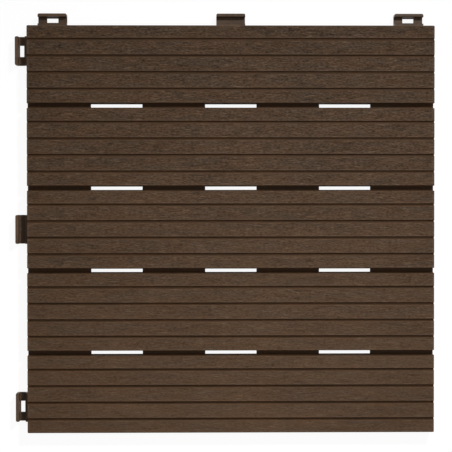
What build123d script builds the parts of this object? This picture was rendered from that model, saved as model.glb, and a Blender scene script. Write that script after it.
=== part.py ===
"""Interlocking wood-look deck tile, moulded in one piece from brown plastic.

Five grooved planks lie side by side on one square tile, with a sunken drain channel between
each two. Hooks stand out of two neighbouring sides, and the other two sides have the sockets
that take the hooks of the next tiles. Below, a skirt, deep long ribs and shallow cross ribs
stiffen the deck, and round feet carry it, so that water runs away under the skirt.

The origin is at the middle of the tile, on the ground. The planks run along X.
"""

import os

from build123d import *

# Planks and deck, in millimetres
PLANK_COUNT = 5
STRIPS_PER_PLANK = 5
STRIP_PITCH = 16.0
JOINT = 5.2
PLANK_LENGTH = 394.8
TILE_HEIGHT = 25.0
DECK_THICKNESS = 4.8
WALL = 3.0
EDGE_ROUND = 0.5
OUTER_BEVEL = 0.6
BEVEL_ANGLE = 45.0
CORNER_ROUND = 1.2

# Grooves along the planks
GROOVE_WIDTH = 2.2
GROOVE_BASE_WIDTH = 1.5
GROOVE_DEPTH = 3.0

# Drain channels between the planks, and the slots through their floors
CHANNEL_DEPTH = 10.0
CHANNEL_BASE_WIDTH = 4.4
CHANNEL_FLOOR = 2.6
SLOTS_PER_CHANNEL = 3
SLOT_PITCH = 111.0
SLOT_LENGTH = 50.0
SLOT_WIDTH = 3.2

# Ribs and feet below the deck
RIB_THICKNESS = 2.4
CROSS_RIBS_PER_PLANK = 9
CROSS_RIB_DEPTH = 5.0
FEET_PER_PLANK = 5
FOOT_HEIGHT = 5.0
FOOT_DIAMETER = 10.0

# Hooks on two sides, and the play that their sockets leave them
HOOK_LENGTH = 28.0
HOOK_INSET = 24.0
HOOK_PLATE = 3.0
HOOK_ROOT = 2.6
LIP_THICKNESS = 3.2
LIP_HEIGHT = 8.8
LIP_ROUND = 0.8
HOOK_CORNER_ROUND = 1.6
HOOK_PLAY = 0.8
HOOK_SIDE_PLAY = 1.5
WINDOW_LENGTH = 11.0
WINDOW_WIDTH = 4.2
WINDOW_LEDGE = 1.0

# How far cutting solids reach past the faces that they cut
OVERCUT = 1.0

# Sizes that follow from the ones above
PLANK_PITCH = STRIPS_PER_PLANK * STRIP_PITCH
TILE_WIDTH = PLANK_COUNT * PLANK_PITCH - JOINT
CHANNEL_COUNT = PLANK_COUNT - 1
SKIRT_BOTTOM = FOOT_HEIGHT
DECK_UNDERSIDE = TILE_HEIGHT - DECK_THICKNESS
RIB_ROOT = (DECK_THICKNESS - GROOVE_DEPTH) / 2
CROSS_RIB_PITCH = PLANK_PITCH / 2
CHANNEL_TOP = TILE_HEIGHT - CHANNEL_DEPTH
CHANNEL_UNDERSIDE = CHANNEL_TOP - CHANNEL_FLOOR
CHANNEL_OUTER_WIDTH = JOINT + 2 * WALL
SHAFT_WIDTH = CHANNEL_OUTER_WIDTH - 2 * RIB_THICKNESS
HOOK_TROUGH = JOINT + WALL + HOOK_PLAY
HOOK_REACH = HOOK_TROUGH + LIP_THICKNESS
PLATE_TOP = SKIRT_BOTTOM + HOOK_PLATE
LIP_TOP = PLATE_TOP + LIP_HEIGHT


def centred(count, pitch):
    """Places of a row of equal steps, centred on zero."""
    return [(i - (count - 1) / 2) * pitch for i in range(count)]


PLANK_PLACES = centred(PLANK_COUNT, PLANK_PITCH)
CHANNEL_PLACES = centred(CHANNEL_COUNT, PLANK_PITCH)
GROOVE_PLACES = centred(STRIPS_PER_PLANK - 1, STRIP_PITCH)
SLOT_PLACES = centred(SLOTS_PER_CHANNEL, SLOT_PITCH)
CROSS_RIB_PLACES = centred(CROSS_RIBS_PER_PLANK, CROSS_RIB_PITCH)
FOOT_PLACES = centred(FEET_PER_PLANK, PLANK_PITCH)


def between(low, high, width):
    """A rectangle of the section, centred across, from one height to another."""
    return Pos(0, (low + high) / 2) * Rectangle(width, high - low)


def tapered_cut(top_width, base_width, base):
    """A channel of the section that opens at the deck and narrows towards its base."""
    half_top, half_base = top_width / 2, base_width / 2
    top = TILE_HEIGHT + OVERCUT
    points = [
        (-half_base, base),
        (half_base, base),
        (half_top, TILE_HEIGHT),
        (half_top, top),
        (-half_top, top),
        (-half_top, TILE_HEIGHT),
    ]
    return make_face(Polyline(*points, close=True))


def outer_section():
    """The section across the planks, with its grooves and channels, as if it were solid below."""
    section = between(SKIRT_BOTTOM, TILE_HEIGHT, TILE_WIDTH)
    groove = tapered_cut(GROOVE_WIDTH, GROOVE_BASE_WIDTH, TILE_HEIGHT - GROOVE_DEPTH)
    channel = tapered_cut(JOINT, CHANNEL_BASE_WIDTH, CHANNEL_TOP)
    for plank in PLANK_PLACES:
        for place in GROOVE_PLACES:
            section -= Pos(plank + place, 0) * groove
    for place in CHANNEL_PLACES:
        section -= Pos(place, 0) * channel
    inner_edges = section.vertices().group_by(Axis.Y)[-1].sort_by(Axis.X)[1:-1]
    return fillet(inner_edges, EDGE_ROUND)


def cell_section():
    """The hollows below the deck: the section inside the skirt, less channels and long ribs."""
    foot, deck = SKIRT_BOTTOM - 2 * OVERCUT, DECK_UNDERSIDE + OVERCUT
    hollow = between(SKIRT_BOTTOM - OVERCUT, DECK_UNDERSIDE, TILE_WIDTH - 2 * WALL)
    channel_body = between(foot, deck, CHANNEL_OUTER_WIDTH)
    channel_body -= between(foot, CHANNEL_UNDERSIDE, SHAFT_WIDTH)
    long_rib = between(foot, deck, RIB_THICKNESS)
    for place in CHANNEL_PLACES:
        hollow -= Pos(place, 0) * channel_body
    for place in PLANK_PLACES:
        hollow -= Pos(place, 0) * long_rib
    return hollow


def planks_and_skirt():
    """The outside of the tile: the section run along the planks, with its outer edges eased."""
    run = extrude(Plane.YZ * outer_section(), PLANK_LENGTH / 2, both=True)
    run = fillet(run.edges().filter_by(Axis.Z), CORNER_ROUND)
    return run - outer_bevel()


def outer_bevel():
    """The ring that is cut off round the top of the tile, so that its outer edges are bevelled."""
    height = OUTER_BEVEL + 2 * OVERCUT
    low = TILE_HEIGHT - OUTER_BEVEL - OVERCUT
    base = Rectangle(PLANK_LENGTH + 2 * OVERCUT, TILE_WIDTH + 2 * OVERCUT)
    kept = extrude(Pos(0, 0, low) * base, height, taper=BEVEL_ANGLE)
    around = Box(PLANK_LENGTH + 4 * OVERCUT, TILE_WIDTH + 4 * OVERCUT, height)
    return Pos(0, 0, low + height / 2) * around - kept


def hollows():
    """The open space below the deck, run from one end wall of the skirt to the other."""
    return extrude(Plane.YZ * cell_section(), PLANK_LENGTH / 2 - WALL, both=True)


def cross_ribs():
    """Shallow ribs across the underside of each plank, let into the deck and the walls beside it."""
    length = PLANK_PITCH - JOINT - WALL
    height = CROSS_RIB_DEPTH + RIB_ROOT
    rib = Pos(0, 0, DECK_UNDERSIDE + RIB_ROOT - height / 2) * Box(RIB_THICKNESS, length, height)
    return [Pos(x, y, 0) * rib for x in CROSS_RIB_PLACES for y in PLANK_PLACES]


def feet():
    """Round feet along the long rib of each plank, from the deck down to the ground."""
    height = DECK_UNDERSIDE + RIB_ROOT
    foot = Pos(0, 0, height / 2) * Cylinder(FOOT_DIAMETER / 2, height)
    return [Pos(x, y, 0) * foot for x in FOOT_PLACES for y in PLANK_PLACES]


def drain_slots():
    """The slots through the channel floors."""
    slot = Box(SLOT_LENGTH, SLOT_WIDTH, CHANNEL_FLOOR + 2 * OVERCUT)
    middle = CHANNEL_UNDERSIDE + CHANNEL_FLOOR / 2
    return [Pos(x, y, middle) * slot for x in SLOT_PLACES for y in CHANNEL_PLACES]


def hook(with_window):
    """A hook that leaves the skirt along +X: a trough with a root on the skirt and an outer lip."""
    points = [
        (-WALL, SKIRT_BOTTOM),
        (HOOK_REACH, SKIRT_BOTTOM),
        (HOOK_REACH, LIP_TOP),
        (HOOK_TROUGH, LIP_TOP),
        (HOOK_TROUGH, PLATE_TOP),
        (HOOK_ROOT, PLATE_TOP),
        (HOOK_ROOT, LIP_TOP),
        (-WALL, LIP_TOP),
    ]
    profile = make_face(Polyline(*points, close=True))
    profile = fillet(profile.vertices().filter_by(lambda v: v.X > 0), LIP_ROUND)
    run = extrude(Plane.XZ * profile, HOOK_LENGTH / 2, both=True)

    plan_middle = (HOOK_REACH - WALL) / 2
    plan = Pos(plan_middle, 0) * Rectangle(HOOK_REACH + WALL, HOOK_LENGTH)
    plan = fillet(plan.vertices().group_by(Axis.X)[-1], HOOK_CORNER_ROUND)
    made = run & extrude(plan, LIP_TOP + OVERCUT)
    if with_window:
        window_middle = HOOK_TROUGH - WINDOW_LEDGE - WINDOW_WIDTH / 2
        window = Box(WINDOW_WIDTH, WINDOW_LENGTH, HOOK_PLATE + 2 * OVERCUT)
        made -= Pos(window_middle, 0, SKIRT_BOTTOM + HOOK_PLATE / 2) * window
    return made


def socket():
    """The space for a neighbour's hook: a notch under the skirt and a pocket behind it, along +X."""
    width = HOOK_LENGTH + 2 * HOOK_SIDE_PLAY
    bottom = SKIRT_BOTTOM - OVERCUT
    notch_height = PLATE_TOP + HOOK_PLAY - bottom
    notch = Box(WALL + 2 * OVERCUT, width, notch_height)
    pocket_depth = LIP_THICKNESS + 2 * HOOK_PLAY
    pocket_height = LIP_TOP + HOOK_PLAY - bottom
    pocket = Box(pocket_depth, width, pocket_height)
    notch_place = Pos(-WALL / 2, 0, bottom + notch_height / 2)
    pocket_place = Pos(-WALL - pocket_depth / 2, 0, bottom + pocket_height / 2)
    return notch_place * notch + pocket_place * pocket


def along_side(turn, shape_for):
    """Three copies on one side of the tile: turn 0 is the +X side, 90 the +Y side, and so on."""
    across = turn % 180 == 0
    reach = (PLANK_LENGTH if across else TILE_WIDTH) / 2
    half_side = (TILE_WIDTH if across else PLANK_LENGTH) / 2
    offset = half_side - HOOK_INSET
    return [Rot(0, 0, turn) * Pos(reach, place, 0) * shape_for(place) for place in (-offset, 0, offset)]


def deck_tile():
    """The whole moulding."""
    tile = planks_and_skirt() - hollows()
    tile += cross_ribs() + feet()
    tile -= drain_slots()
    for turn in (0, 270):
        tile -= along_side(turn, lambda place: socket())
    for turn in (90, 180):
        tile += along_side(turn, lambda place: hook(with_window=place != 0))
    return tile


os.makedirs("parts", exist_ok=True)
export_step(deck_tile(), "parts/deck_tile.step")
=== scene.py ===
"""Studio picture of an interlocking wood-look deck tile, moulded in one piece from brown plastic.

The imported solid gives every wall, hook, channel and rib. On top of it, each strip of the planks
is cut into a fine mesh and gets the shallow wood grain that the mould presses into it. All sizes
are in metres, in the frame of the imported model: planks along X, deck up along Z.
"""

from __future__ import annotations

import logging
import math
from dataclasses import dataclass, field
from enum import Enum

import bmesh
import bpy
import numpy as np
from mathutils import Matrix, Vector


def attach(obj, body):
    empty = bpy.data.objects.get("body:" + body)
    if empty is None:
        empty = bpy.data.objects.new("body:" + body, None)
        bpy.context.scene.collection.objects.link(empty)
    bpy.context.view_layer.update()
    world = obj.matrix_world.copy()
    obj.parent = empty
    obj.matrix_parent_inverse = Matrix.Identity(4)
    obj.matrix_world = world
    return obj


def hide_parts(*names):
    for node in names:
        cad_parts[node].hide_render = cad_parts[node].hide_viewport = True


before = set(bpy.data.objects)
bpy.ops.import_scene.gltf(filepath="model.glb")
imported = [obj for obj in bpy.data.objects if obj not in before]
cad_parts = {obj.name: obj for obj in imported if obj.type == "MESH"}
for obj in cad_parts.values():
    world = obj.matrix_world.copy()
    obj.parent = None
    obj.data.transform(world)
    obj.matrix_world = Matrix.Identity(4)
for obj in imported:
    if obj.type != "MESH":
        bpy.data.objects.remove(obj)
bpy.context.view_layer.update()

LOG = logging.getLogger("deck_tile")
MM = 0.001
IMAGE_PIXELS = 452

WHITE = (1.0, 1.0, 1.0, 1.0)

Socket = bpy.types.NodeSocket
Value = float | Socket
Triple = tuple[float, float, float]


def smoothed(share: np.ndarray) -> np.ndarray:
    """Eases values from 0 to 1 in and out at both ends."""
    return share * share * (3 - 2 * share)


class Surface(Enum):
    """The surfaces of the moulding, numbered as its material slots."""

    GRAINED = 0
    PLAIN = 1
    # Grooves and channels: darker tones, painted shade in the recesses, with a matte finish.
    SUNKEN = 2


class Mark(Enum):
    """Names of the values that each point of the mesh carries for the materials."""

    # GRAIN is the depth of the pressed relief; the grained finish darkens it, painted shade in the
    # hollows.
    GRAIN = "grain"
    # RIM_WEAR_AND_HIGHLIGHT is nearness to a strip's edge, which the grained finish lightens and smooths:
    # partly wear, partly a painted highlight.
    RIM_WEAR_AND_HIGHLIGHT = "rim"


@dataclass(frozen=True)
class Tone:
    """A colour as it is seen on a screen, in steps of 0 to 255."""

    red: float
    green: float
    blue: float

    def linear(self) -> Triple:
        """The colour in linear light, as a shader takes it."""
        return tuple(self._straight(step / 255) for step in (self.red, self.green, self.blue))

    def rgba(self) -> tuple[float, float, float, float]:
        """The linear colour with a full alpha."""
        return (*self.linear(), 1.0)

    @staticmethod
    def _straight(step: float) -> float:
        """One channel from the screen's curve to linear light."""
        return step / 12.92 if step <= 0.04045 else ((step + 0.055) / 1.055) ** 2.4


@dataclass(frozen=True)
class Layer:
    """A layer of cloudy noise: clouds to a millimetre, the part that is spread out, finer layers."""

    per_mm: Triple
    low: float
    high: float
    detail: float = 2.0


class NodeBoard:
    """A material's or world's node tree, with short ways to lay out its nodes."""

    def __init__(self, owner: bpy.types.ID) -> None:
        """Empties the owner's node tree.

        Args:
            owner: the material, world or light that has the nodes.
        """
        owner.use_nodes = True
        self.tree = owner.node_tree
        self.tree.nodes.clear()

    def add(self, kind: str, **settings: object) -> bpy.types.Node:
        """Adds a node.

        Args:
            kind: the node's Blender type name.
            **settings: properties to set on the node.

        Returns:
            The new node.
        """
        node = self.tree.nodes.new(kind)
        for name, value in settings.items():
            setattr(node, name, value)
        return node

    def feed(self, socket: Socket, value: object) -> None:
        """Gives an input its value.

        Args:
            socket: the input.
            value: another node's output to link, or a plain number, vector or colour to set.
        """
        if isinstance(value, bpy.types.NodeSocket):
            self.tree.links.new(value, socket)
        else:
            socket.default_value = value

    def maths(self, operation: str, first: Value, second: Value = 0.0) -> Socket:
        """Works out one number from two.

        Args:
            operation: the Math node's operation.
            first: the first number or output.
            second: the second number or output.

        Returns:
            The result's output.
        """
        node = self.add("ShaderNodeMath", operation=operation)
        self.feed(node.inputs[0], first)
        self.feed(node.inputs[1], second)
        return node.outputs[0]

    def weighted(self, base: float, *parts: tuple[Socket, float]) -> Socket:
        """Adds up values around a base, each centred on a half.

        Args:
            base: the sum where every value is at its middle.
            *parts: pairs of an output from 0 to 1 and its full swing.

        Returns:
            The sum's output.
        """
        total: Value = base - sum(swing for _, swing in parts) / 2
        for output, swing in parts:
            total = self.maths("ADD", total, self.maths("MULTIPLY", output, swing))
        return total

    def ramp(self, value: Socket, low: float, high: float) -> Socket:
        """Spreads a part of a value's range to 0 to 1.

        Args:
            value: the output to spread.
            low: what becomes 0.
            high: what becomes 1.

        Returns:
            The spread value's output.
        """
        node = self.add("ShaderNodeMapRange", interpolation_type="SMOOTHSTEP")
        self.feed(node.inputs["Value"], value)
        self.feed(node.inputs["From Min"], low)
        self.feed(node.inputs["From Max"], high)
        return node.outputs["Result"]

    def vector(self, operation: str, first: object, second: object) -> Socket:
        """Works out one vector from two.

        Args:
            operation: the Vector Math node's operation.
            first: the first vector or output.
            second: the second vector or output.

        Returns:
            The result's output.
        """
        node = self.add("ShaderNodeVectorMath", operation=operation)
        self.feed(node.inputs[0], first)
        self.feed(node.inputs[1], second)
        return node.outputs["Vector"]

    def noise(self, place: Socket, per_mm: Triple, detail: float = 2.0) -> Socket:
        """Cloudy noise with its own pitch along each axis.

        Args:
            place: the point in millimetres.
            per_mm: how many clouds there are to a millimetre along X, Y and Z.
            detail: how many finer layers the clouds have.

        Returns:
            The noise's output, mostly from 0.25 to 0.75.
        """
        node = self.add("ShaderNodeTexNoise")
        self.feed(node.inputs["Vector"], self.vector("MULTIPLY", place, per_mm))
        self.feed(node.inputs["Scale"], 1.0)
        self.feed(node.inputs["Detail"], detail)
        return node.outputs["Fac"]

    def layer(self, place: Socket, layer: Layer) -> Socket:
        """A layer of noise, spread out.

        Args:
            place: the point in millimetres.
            layer: the layer.

        Returns:
            The layer's output, from 0 to 1.
        """
        return self.ramp(self.noise(place, layer.per_mm, layer.detail), layer.low, layer.high)

    def across(self, place: Socket) -> Socket:
        """A point's place across the planks.

        Args:
            place: the point in millimetres.

        Returns:
            The output of its Y.
        """
        parts = self.add("ShaderNodeSeparateXYZ")
        self.feed(parts.inputs["Vector"], place)
        return parts.outputs["Y"]

    def mark(self, mark: Mark) -> Socket:
        """The output of a value that the mesh carries."""
        return self.add("ShaderNodeAttribute", attribute_name=mark.value).outputs["Fac"]

    def place_mm(self) -> Socket:
        """The point on the object, in millimetres."""
        coordinates = self.add("ShaderNodeTexCoord").outputs["Object"]
        return self.vector("MULTIPLY", coordinates, (1 / MM,) * 3)

    def tinted(self, amount: Socket, first: Tone, second: Tone) -> Socket:
        """Mixes two colours.

        Args:
            amount: how much of the second colour shows, from 0 to 1.
            first: the colour at 0.
            second: the colour at 1.

        Returns:
            The mixed colour's output.
        """
        node = self.add("ShaderNodeMix", data_type="RGBA")
        self.feed(node.inputs["Factor"], amount)
        self.feed(node.inputs[6], first.rgba())
        self.feed(node.inputs[7], second.rgba())
        return node.outputs[2]

    def scaled(self, colour: Socket, amount: Socket) -> Socket:
        """Makes a colour lighter or darker.

        Args:
            colour: the colour's output.
            amount: the factor's output.

        Returns:
            The new colour's output.
        """
        node = self.add("ShaderNodeVectorMath", operation="SCALE")
        self.feed(node.inputs[0], colour)
        self.feed(node.inputs["Scale"], amount)
        return node.outputs["Vector"]

    def bump(self, height: Socket, strength: float, distance: float) -> Socket:
        """Bends the normal by a height.

        Args:
            height: the height's output.
            strength: how much of the bend is used.
            distance: the height of a full step, in metres.

        Returns:
            The bent normal's output.
        """
        node = self.add("ShaderNodeBump")
        self.feed(node.inputs["Strength"], strength)
        self.feed(node.inputs["Distance"], distance)
        self.feed(node.inputs["Height"], height)
        return node.outputs["Normal"]


@dataclass(frozen=True)
class GrainedPlastic:
    """Matte brown plastic with the streaks and pores of an embossed wood grain, and painted highlight and
    shade on it.
    """

    name: str = "embossed_wood_grain"
    grey_brown: Tone = Tone(72, 58, 45)
    red_brown: Tone = Tone(78, 56, 37)
    roughness: float = 0.62
    specular: float = 0.15
    strip_pitch: float = 16.0
    half_side: float = 197.4
    back_contrast: float = 1.80
    front_contrast: float = 0.75
    sway: float = 14.0
    sway_per_mm: Triple = (0.018, 0.03, 0.0)
    fibres: Layer = Layer((0.36, 0.85, 0.0), 0.28, 0.72, detail=3.0)
    pores: Layer = Layer((0.42, 1.10, 0.0), 0.58, 0.76, detail=1.0)
    # Thin bright streaks along the grain: a painted highlight of the ridges catching light.
    painted_highlight_streaks: Layer = Layer((0.085, 0.95, 0.0), 0.54, 0.74)
    hairs: Layer = Layer((0.10, 2.80, 0.0), 0.36, 0.58)
    streaks: Layer = Layer((0.016, 0.28, 0.0), 0.30, 0.70)
    patches: Layer = Layer((0.010, 0.020, 0.0), 0.30, 0.70)
    clouds: Layer = Layer((0.022, 0.12, 0.0), 0.32, 0.68, detail=3.0)
    bump_strength: float = 0.5
    bump_height: float = 0.12 * MM

    def material(self) -> bpy.types.Material:
        """Lays out the finish of the plank tops.

        Returns:
            The material.
        """
        made = bpy.data.materials.new(self.name)
        board = NodeBoard(made)
        place = board.place_mm()
        along = self._swayed(board, place)
        grain = board.mark(Mark.GRAIN)
        rim = board.mark(Mark.RIM_WEAR_AND_HIGHLIGHT)
        fibres = board.layer(along, self.fibres)
        pores = board.layer(along, self.pores)
        painted_highlight_streaks = board.layer(along, self.painted_highlight_streaks)
        hairs = board.layer(along, self.hairs)
        streaks = board.layer(along, self.streaks)
        patches = board.layer(place, self.patches)
        clouds = board.layer(along, self.clouds)

        # Hue: the clouds vary it at random; the light fibres and the painted highlight streaks lean to
        # the grey brown, a painted sheen.
        hue = board.weighted(0.45, (clouds, 0.50), (fibres, -0.90), (painted_highlight_streaks, -0.50))
        # Fine tone: fibres, hairs and pores of the grain; the bright streaks are painted highlight, and
        # deeper relief is darker, painted shade in its hollows.
        fine = board.weighted(
            0.09, (fibres, 0.47), (painted_highlight_streaks, 0.61), (hairs, 0.32), (pores, -0.06), (grain, -0.15),
        )
        fine = board.maths("MULTIPLY", fine, self._contrast(board, place))
        strip_tone = self._strip_tone(board, place)
        # The rim term lightens the strips' edges: partly wear, partly a painted highlight.
        broad = board.weighted(
            1.11, (streaks, 0.14), (patches, 0.12), (strip_tone, 0.06), (rim, 0.10),
        )
        bright = board.maths("ADD", broad, fine)
        colour = board.scaled(board.tinted(hue, self.grey_brown, self.red_brown), bright)
        roughness = board.weighted(self.roughness, (fibres, -0.14), (grain, 0.16), (rim, -0.10))
        relief = board.weighted(0.0, (fibres, 1.0), (hairs, 0.6), (pores, -0.8))

        shader = board.add("ShaderNodeBsdfPrincipled")
        board.feed(shader.inputs["Base Color"], colour)
        board.feed(shader.inputs["Roughness"], roughness)
        board.feed(shader.inputs["Specular IOR Level"], self.specular)
        bent = board.bump(relief, self.bump_strength, self.bump_height)
        board.feed(shader.inputs["Normal"], bent)
        output = board.add("ShaderNodeOutputMaterial")
        board.feed(output.inputs["Surface"], shader.outputs["BSDF"])
        return made

    def _swayed(self, board: NodeBoard, place: Socket) -> Socket:
        """Points pushed across the planks, so that the grain sways.

        Args:
            board: the material's nodes.
            place: the point in millimetres.

        Returns:
            The pushed point's output, in millimetres.
        """
        clouds = board.noise(place, self.sway_per_mm)
        push = board.maths("MULTIPLY", board.maths("SUBTRACT", clouds, 0.5), self.sway)
        offset = board.add("ShaderNodeCombineXYZ")
        board.feed(offset.inputs["Y"], push)
        return board.vector("ADD", place, offset.outputs["Vector"])

    def _contrast(self, board: NodeBoard, place: Socket) -> Socket:
        """How strongly the grain shows, which falls from the back of the tile to the front.

        Args:
            board: the material's nodes.
            place: the point in millimetres.

        Returns:
            The factor's output.
        """
        slope = (self.back_contrast - self.front_contrast) / (2 * self.half_side)
        middle = (self.back_contrast + self.front_contrast) / 2
        return board.maths("ADD", board.maths("MULTIPLY", board.across(place), slope), middle)

    def _strip_tone(self, board: NodeBoard, place: Socket) -> Socket:
        """A tone of its own for each strip of a plank.

        Args:
            board: the material's nodes.
            place: the point in millimetres.

        Returns:
            The tone's output, from 0 to 1.
        """
        number = board.maths("ROUND", board.maths("DIVIDE", board.across(place), self.strip_pitch))
        dice = board.add("ShaderNodeTexWhiteNoise", noise_dimensions="1D")
        board.feed(dice.inputs["W"], number)
        return dice.outputs["Value"]


@dataclass(frozen=True)
class PlainPlastic:
    """The same brown plastic where the mould has no grain: hooks, walls, channels and underside."""

    name: str = "plain_moulded_plastic"
    # Both tones are lighter and greyer than the grained tops: painted light and sheen on the smooth
    # faces. The clouds mix the two at random.
    shaded: Tone = Tone(80, 63, 49)
    lit: Tone = Tone(100, 79, 62)
    roughness: float = 0.42
    specular: float = 0.12
    clouds: Layer = Layer((0.02, 0.02, 0.05), 0.30, 0.70, detail=3.0)
    flow: Layer = Layer((0.05, 0.05, 0.6), 0.30, 0.70)
    blotches: Layer = Layer((0.40, 0.55, 0.40), 0.30, 0.70)
    specks_per_mm: Triple = (2.2, 2.2, 2.2)
    bump_strength: float = 0.25
    bump_height: float = 0.08 * MM

    def material(self) -> bpy.types.Material:
        """Lays out the finish of the smooth faces.

        Returns:
            The material.
        """
        made = bpy.data.materials.new(self.name)
        board = NodeBoard(made)
        place = board.place_mm()
        clouds = board.layer(place, self.clouds)
        flow = board.layer(place, self.flow)
        blotches = board.layer(place, self.blotches)
        specks = board.noise(place, self.specks_per_mm)

        tone = board.tinted(clouds, self.shaded, self.lit)
        bright = board.weighted(1.0, (flow, 0.10), (specks, 0.16), (blotches, 0.24))
        roughness = board.weighted(self.roughness, (clouds, 0.08), (specks, 0.16))

        shader = board.add("ShaderNodeBsdfPrincipled")
        board.feed(shader.inputs["Base Color"], board.scaled(tone, bright))
        board.feed(shader.inputs["Roughness"], roughness)
        board.feed(shader.inputs["Specular IOR Level"], self.specular)
        bent = board.bump(specks, self.bump_strength, self.bump_height)
        board.feed(shader.inputs["Normal"], bent)
        output = board.add("ShaderNodeOutputMaterial")
        board.feed(output.inputs["Surface"], shader.outputs["BSDF"])
        return made


@dataclass(frozen=True)
class GrainField:
    """The relief that the mould presses into a strip: wavy fibres with pores between them."""

    seed: int = 41
    depth: float = 0.26 * MM
    sway: float = 1.6 * MM
    sway_length: float = 70 * MM
    fibre_length: float = 12 * MM
    fibre_pitch: float = 2.1 * MM
    fibre_share: float = 0.55
    pore_length: float = 6 * MM
    pore_pitch: float = 1.9 * MM
    pore_share: float = 0.60
    pore_start: float = 0.58
    pore_span: float = 0.30

    def relief(self, x: np.ndarray, y: np.ndarray, strip: int) -> np.ndarray:
        """How deep the grain is at each point of a strip.

        Args:
            x: the points' places along the strip.
            y: the points' places across it.
            strip: the strip's number, which picks its own grain.

        Returns:
            Depths from 0, at the strip's plane, to 1, at the foot of a pore.
        """
        key = self.seed + 10 * strip
        bent = y + self.sway * (2 * self._noise(x / self.sway_length, y / self.sway_length, key) - 1)
        fibres = self._noise(x / self.fibre_length, bent / self.fibre_pitch, key + 1)
        pores = self._noise(x / self.pore_length, bent / self.pore_pitch, key + 2)
        deep = np.clip((pores - self.pore_start) / self.pore_span, 0.0, 1.0)
        return np.clip(self.fibre_share * fibres + self.pore_share * deep, 0.0, 1.0)

    @staticmethod
    def _noise(u: np.ndarray, v: np.ndarray, key: int) -> np.ndarray:
        """Smooth noise between random values on a lattice of unit cells.

        Args:
            u: the points' first coordinates, in cells.
            v: the points' second coordinates, in cells.
            key: the seed of the lattice.

        Returns:
            Values from 0 to 1.
        """
        u = u - u.min() + 0.5
        v = v - v.min() + 0.5
        lattice = np.random.default_rng(key).random((int(u.max()) + 2, int(v.max()) + 2))
        column, row = u.astype(int), v.astype(int)
        fu, fv = smoothed(u - column), smoothed(v - row)
        low = lattice[column, row] * (1 - fu) + lattice[column + 1, row] * fu
        high = lattice[column, row + 1] * (1 - fu) + lattice[column + 1, row + 1] * fu
        return low * (1 - fv) + high * fv


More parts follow.
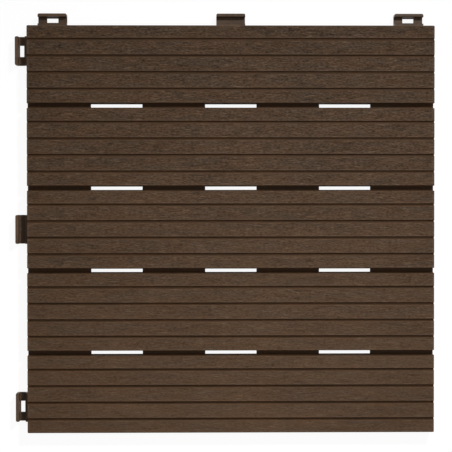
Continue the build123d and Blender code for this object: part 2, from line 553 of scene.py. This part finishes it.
@dataclass
class DeckTile:
    """The one-piece tile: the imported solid's shape with the wood grain pressed into its strips."""

    node: str = "deck_tile"
    name: str = "grained_deck_tile"
    cells_along: int = 200
    cells_across: int = 15
    rim_width: float = 1.1 * MM
    weld: float = 0.002 * MM
    crease_degrees: float = 35.0
    half_side: float = 197.4 * MM
    outer_edge: float = 0.8 * MM
    groove_base: float = 21.9 * MM
    channel_base: float = 12.3 * MM
    channel_pitch: float = 80 * MM
    channel_reach: float = 3.2 * MM
    faces_down: float = -0.5
    grain: GrainField = field(default_factory=GrainField)
    top_finish: GrainedPlastic = GrainedPlastic()
    # Hooks, walls and underside: lighter, greyer tones that paint light and sheen on them.
    plain_finish: PlainPlastic = PlainPlastic()
    # Grooves and channels: darker tones, painted shade in the recesses; the higher roughness makes them
    # matte.
    sunken_matte_painted_shade: PlainPlastic = PlainPlastic(
        name="matte_sunken_plastic_painted_shade",
        shaded=Tone(70, 50, 32),
        lit=Tone(82, 58, 38),
        roughness=0.60,
        specular=0.13,
    )

    def build(self) -> bpy.types.Object:
        """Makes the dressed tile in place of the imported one.

        Returns:
            The tile's object.
        """
        shape = bmesh.new()
        shape.from_mesh(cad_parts[self.node].data)
        bmesh.ops.remove_doubles(shape, verts=shape.verts[:], dist=self.weld)
        for face in shape.faces:
            face.material_index = Surface.PLAIN.value
        marks = {mark: shape.verts.layers.float.new(mark.value) for mark in Mark}
        tops = self._strip_tops(shape)
        for number, faces in enumerate(tops):
            self._press_grain(shape, faces, number, marks)
        LOG.info("%d strips grained", len(tops))
        shape.normal_update()
        for face in shape.faces:
            # Faces lining grooves and channels take the darker tones of painted shade.
            if face.material_index == Surface.PLAIN.value and self._is_sunken(face):
                face.material_index = Surface.SUNKEN.value

        mesh = bpy.data.meshes.new(self.name)
        shape.to_mesh(mesh)
        shape.free()
        tile = bpy.data.objects.new(self.name, mesh)
        bpy.context.scene.collection.objects.link(tile)
        self._dress(tile)
        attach(tile, "root")
        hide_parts(self.node)
        return tile

    def _strip_tops(self, shape: bmesh.types.BMesh) -> list[list[bmesh.types.BMFace]]:
        """Finds the flat top of each strip.

        Args:
            shape: the tile's mesh.

        Returns:
            The faces of each top, from the lowest Y to the highest.
        """
        height = max(vert.co.z for vert in shape.verts)
        flat = {f for f in shape.faces if all(height - v.co.z < self.weld for v in f.verts)}
        tops = []
        while flat:
            island = [flat.pop()]
            for face in island:
                joined = {other for edge in face.edges for other in edge.link_faces} & flat
                flat -= joined
                island.extend(joined)
            tops.append(island)
        return sorted(tops, key=lambda island: min(v.co.y for f in island for v in f.verts))

    def _press_grain(
        self,
        shape: bmesh.types.BMesh,
        faces: list[bmesh.types.BMFace],
        number: int,
        marks: dict[Mark, bmesh.types.BMLayerItem],
    ) -> None:
        """Swaps a strip's flat top for a fine mesh with the grain pressed into it.

        Args:
            shape: the tile's mesh.
            faces: the faces of the strip's top.
            number: the strip's number.
            marks: the layers of values that the points carry.
        """
        corners = np.array([v.co for f in faces for v in f.verts])
        low, high = corners.min(axis=0), corners.max(axis=0)
        self._open_top(shape, faces, high[2])
        xs = np.linspace(low[0], high[0], self.cells_along + 1)
        ys = np.linspace(low[1], high[1], self.cells_across + 1)
        border = self._border(shape, low, high)

        across, along = np.meshgrid(ys, xs)
        inside = np.minimum.reduce([along - low[0], high[0] - along, across - low[1], high[1] - across])
        fade = smoothed(np.clip(inside / self.rim_width, 0.0, 1.0))
        relief = self.grain.relief(along, across, number) * fade

        grid = []
        for i, x in enumerate(xs):
            row = []
            for j, y in enumerate(ys):
                vert = border.get((i, j))
                if vert is None:
                    vert = shape.verts.new((x, y, high[2] - self.grain.depth * relief[i, j]))
                vert[marks[Mark.GRAIN]] = relief[i, j]
                # Nearness to the strip's edge, which the grained finish lightens: partly wear, partly a
                # painted highlight.
                vert[marks[Mark.RIM_WEAR_AND_HIGHLIGHT]] = 1.0 - fade[i, j]
                row.append(vert)
            grid.append(row)
        for i in range(self.cells_along):
            for j in range(self.cells_across):
                quad = (grid[i][j], grid[i + 1][j], grid[i + 1][j + 1], grid[i][j + 1])
                shape.faces.new(quad).material_index = Surface.GRAINED.value

    def _open_top(self, shape: bmesh.types.BMesh, faces: list[bmesh.types.BMFace], height: float) -> None:
        """Takes a strip's flat top away and divides the edges round it.

        Args:
            shape: the tile's mesh.
            faces: the faces of the strip's top.
            height: the height of the top; not used.
        """
        edges = {edge for face in faces for edge in face.edges}
        round_it = [edge for edge in edges if any(face not in faces for face in edge.link_faces)]
        bmesh.ops.delete(shape, geom=faces, context="FACES_ONLY")
        loose = [edge for edge in edges if not edge.link_faces]
        bmesh.ops.delete(shape, geom=loose, context="EDGES")
        runs_along = [e for e in round_it if abs(e.verts[0].co.x - e.verts[1].co.x) > self.rim_width]
        runs_across = [e for e in round_it if e not in runs_along]
        for group, cells in ((runs_along, self.cells_along), (runs_across, self.cells_across)):
            bmesh.ops.subdivide_edges(shape, edges=group, cuts=cells - 1, use_single_edge=True)

    def _border(
        self, shape: bmesh.types.BMesh, low: np.ndarray, high: np.ndarray,
    ) -> dict[tuple[int, int], bmesh.types.BMVert]:
        """Finds the points round an opened strip top.

        Args:
            shape: the tile's mesh.
            low: the lowest corner of the top.
            high: the highest corner of the top.

        Returns:
            The points by their column and row in the top's mesh.
        """
        found = {}
        slack = self.weld
        for vert in shape.verts:
            x, y, z = vert.co
            if high[2] - z > slack or not (low[1] - slack < y < high[1] + slack):
                continue
            column = round((x - low[0]) / (high[0] - low[0]) * self.cells_along)
            line = round((y - low[1]) / (high[1] - low[1]) * self.cells_across)
            found[(column, line)] = vert
        return found

    def _is_sunken(self, face: bmesh.types.BMFace) -> bool:
        """Tells whether a face lines a groove or a drain channel.

        Args:
            face: a face of the tile that isn't a strip's top.

        Returns:
            True for the walls and floors that open to the top.
        """
        middle = face.calc_center_median()
        low = min(vert.co.z for vert in face.verts)
        outermost = max(abs(middle.x), abs(middle.y)) > self.half_side - self.outer_edge
        if outermost or face.normal.z < self.faces_down:
            return False
        offsets = [abs(v.co.y % self.channel_pitch - self.channel_pitch / 2) for v in face.verts]
        in_channel = low > self.channel_base and max(offsets) < self.channel_reach
        return low > self.groove_base or in_channel

    def _dress(self, tile: bpy.types.Object) -> None:
        """Gives the tile its finishes and its smooth and sharp edges.

        Args:
            tile: the tile's object.
        """
        mesh = tile.data
        for finish in (self.top_finish, self.plain_finish, self.sunken_matte_painted_shade):
            mesh.materials.append(finish.material())
        if "custom_normal" in mesh.attributes:
            mesh.attributes.remove(mesh.attributes["custom_normal"])
        mesh.shade_smooth()
        mesh.set_sharp_from_angle(angle=math.radians(self.crease_degrees))
        mesh.update()


@dataclass
class SoftBox:
    """A soft lamp that shines on the tile."""

    name: str
    place: Triple
    aim: Triple
    side: float
    watts: float
    spread_degrees: float = 180.0

    def build(self) -> bpy.types.Object:
        """Hangs the lamp and turns it to the tile.

        Returns:
            The lamp's object.
        """
        lamp = bpy.data.lights.new(self.name, "AREA")
        lamp.shape = "SQUARE"
        lamp.size = self.side
        lamp.energy = self.watts
        lamp.spread = math.radians(self.spread_degrees)
        made = bpy.data.objects.new(self.name, lamp)
        made.location = self.place
        back = Vector(self.place) - Vector(self.aim)
        made.rotation_euler = back.to_track_quat("Z", "Y").to_euler()
        made.visible_camera = False
        bpy.context.scene.collection.objects.link(made)
        return made


@dataclass
class Studio:
    """The white floor, the even sky and the lamps."""

    floor_side: float = 30.0
    floor_drop: float = 0.1 * MM
    floor_grey: float = 0.80
    shown_white: float = 0.94
    shown_grey: float = 0.10
    sky: float = 0.16
    lamps: tuple[SoftBox, ...] = (
        SoftBox(
            "key_lamp", place=(0.34, 0.55, 1.15), aim=(-0.03, -0.28, 0.0), side=0.12, watts=1.83,
            spread_degrees=60.0,
        ),
        SoftBox(
            "fill_lamp", place=(0.36, -0.34, 1.50), aim=(0.0, -0.10, 0.0), side=0.5, watts=2.2,
        ),
    )

    def build(self) -> None:
        """Lays the floor and lights the set."""
        self._floor()
        self._sky()
        for lamp in self.lamps:
            lamp.build()
            LOG.info("lamp %s hung", lamp.name)

    def _floor(self) -> None:
        """Lays a pale floor that looks white and keeps the tile's shadow."""
        half, height = self.floor_side / 2, -self.floor_drop
        plan = ((-half, -half), (half, -half), (half, half), (-half, half))
        corners = [(x, y, height) for x, y in plan]
        mesh = bpy.data.meshes.new("studio_floor")
        mesh.from_pydata(corners, [], [(0, 1, 2, 3)])
        floor = bpy.data.objects.new("studio_floor", mesh)
        bpy.context.scene.collection.objects.link(floor)
        material = bpy.data.materials.new("white_floor")
        board = NodeBoard(material)
        lit = board.add("ShaderNodeBsdfDiffuse")
        board.feed(lit.inputs["Color"], (self.floor_grey,) * 3 + (1.0,))
        glow = board.add("ShaderNodeEmission")
        board.feed(glow.inputs["Strength"], self.shown_white)
        shadowed = board.add("ShaderNodeBsdfDiffuse")
        board.feed(shadowed.inputs["Color"], (self.shown_grey,) * 3 + (1.0,))
        shown = board.add("ShaderNodeAddShader")
        board.feed(shown.inputs[0], glow.outputs["Emission"])
        board.feed(shown.inputs[1], shadowed.outputs["BSDF"])
        mixed = board.add("ShaderNodeMixShader")
        board.feed(mixed.inputs[0], self._is_seen(board))
        board.feed(mixed.inputs[1], lit.outputs["BSDF"])
        board.feed(mixed.inputs[2], shown.outputs["Shader"])
        output = board.add("ShaderNodeOutputMaterial")
        board.feed(output.inputs["Surface"], mixed.outputs["Shader"])
        mesh.materials.append(material)

    def _sky(self) -> None:
        """Makes the sky an even fill light that looks white."""
        world = bpy.data.worlds.new("studio_sky")
        bpy.context.scene.world = world
        board = NodeBoard(world)
        fill = board.add("ShaderNodeBackground")
        board.feed(fill.inputs["Strength"], self.sky)
        white = board.add("ShaderNodeBackground")
        board.feed(white.inputs["Strength"], 1.0)
        for node in (fill, white):
            board.feed(node.inputs["Color"], WHITE)
        mixed = board.add("ShaderNodeMixShader")
        board.feed(mixed.inputs[0], self._is_seen(board))
        board.feed(mixed.inputs[1], fill.outputs["Background"])
        board.feed(mixed.inputs[2], white.outputs["Background"])
        output = board.add("ShaderNodeOutputWorld")
        board.feed(output.inputs["Surface"], mixed.outputs["Shader"])

    @staticmethod
    def _is_seen(board: NodeBoard) -> Socket:
        """Tells what is looked at from what only lights.

        Args:
            board: the nodes to add to.

        Returns:
            An output that is 1 for what the camera sees, straight, mirrored or through glass.
        """
        path = board.add("ShaderNodeLightPath")
        straight = board.maths("MAXIMUM", path.outputs["Is Camera Ray"], path.outputs["Is Glossy Ray"])
        return board.maths("MAXIMUM", straight, path.outputs["Is Transmission Ray"])


@dataclass
class PhotoCamera:
    """The camera high above the tile, looking almost straight down."""

    place: Triple = (-0.034, 0.040, 1.700)
    turn_degrees: Triple = (-1.251, -0.995, -0.027)
    focal_pixels: float = 1729.7
    sensor: float = 36.0
    nearest: float = 0.01
    farthest: float = 100.0

    def build(self) -> bpy.types.Object:
        """Sets the camera up.

        Returns:
            The camera's object.
        """
        data = bpy.data.cameras.new("photo_camera")
        data.sensor_width = self.sensor
        data.lens = self.focal_pixels * self.sensor / IMAGE_PIXELS
        data.clip_start, data.clip_end = self.nearest, self.farthest
        camera = bpy.data.objects.new("photo_camera", data)
        camera.location = self.place
        camera.rotation_euler = [math.radians(angle) for angle in self.turn_degrees]
        bpy.context.scene.collection.objects.link(camera)
        bpy.context.scene.camera = camera
        return camera


def main() -> None:
    """Builds the tile, the studio and the camera, in that order."""
    logging.basicConfig(level=logging.INFO, format="%(name)s: %(message)s")
    bpy.context.scene.view_settings.view_transform = "Standard"
    tile = DeckTile().build()
    LOG.info("%s has %d faces", tile.name, len(tile.data.polygons))
    Studio().build()
    PhotoCamera().build()
    LOG.info("camera in place")


if __name__ == "__main__":
    main()
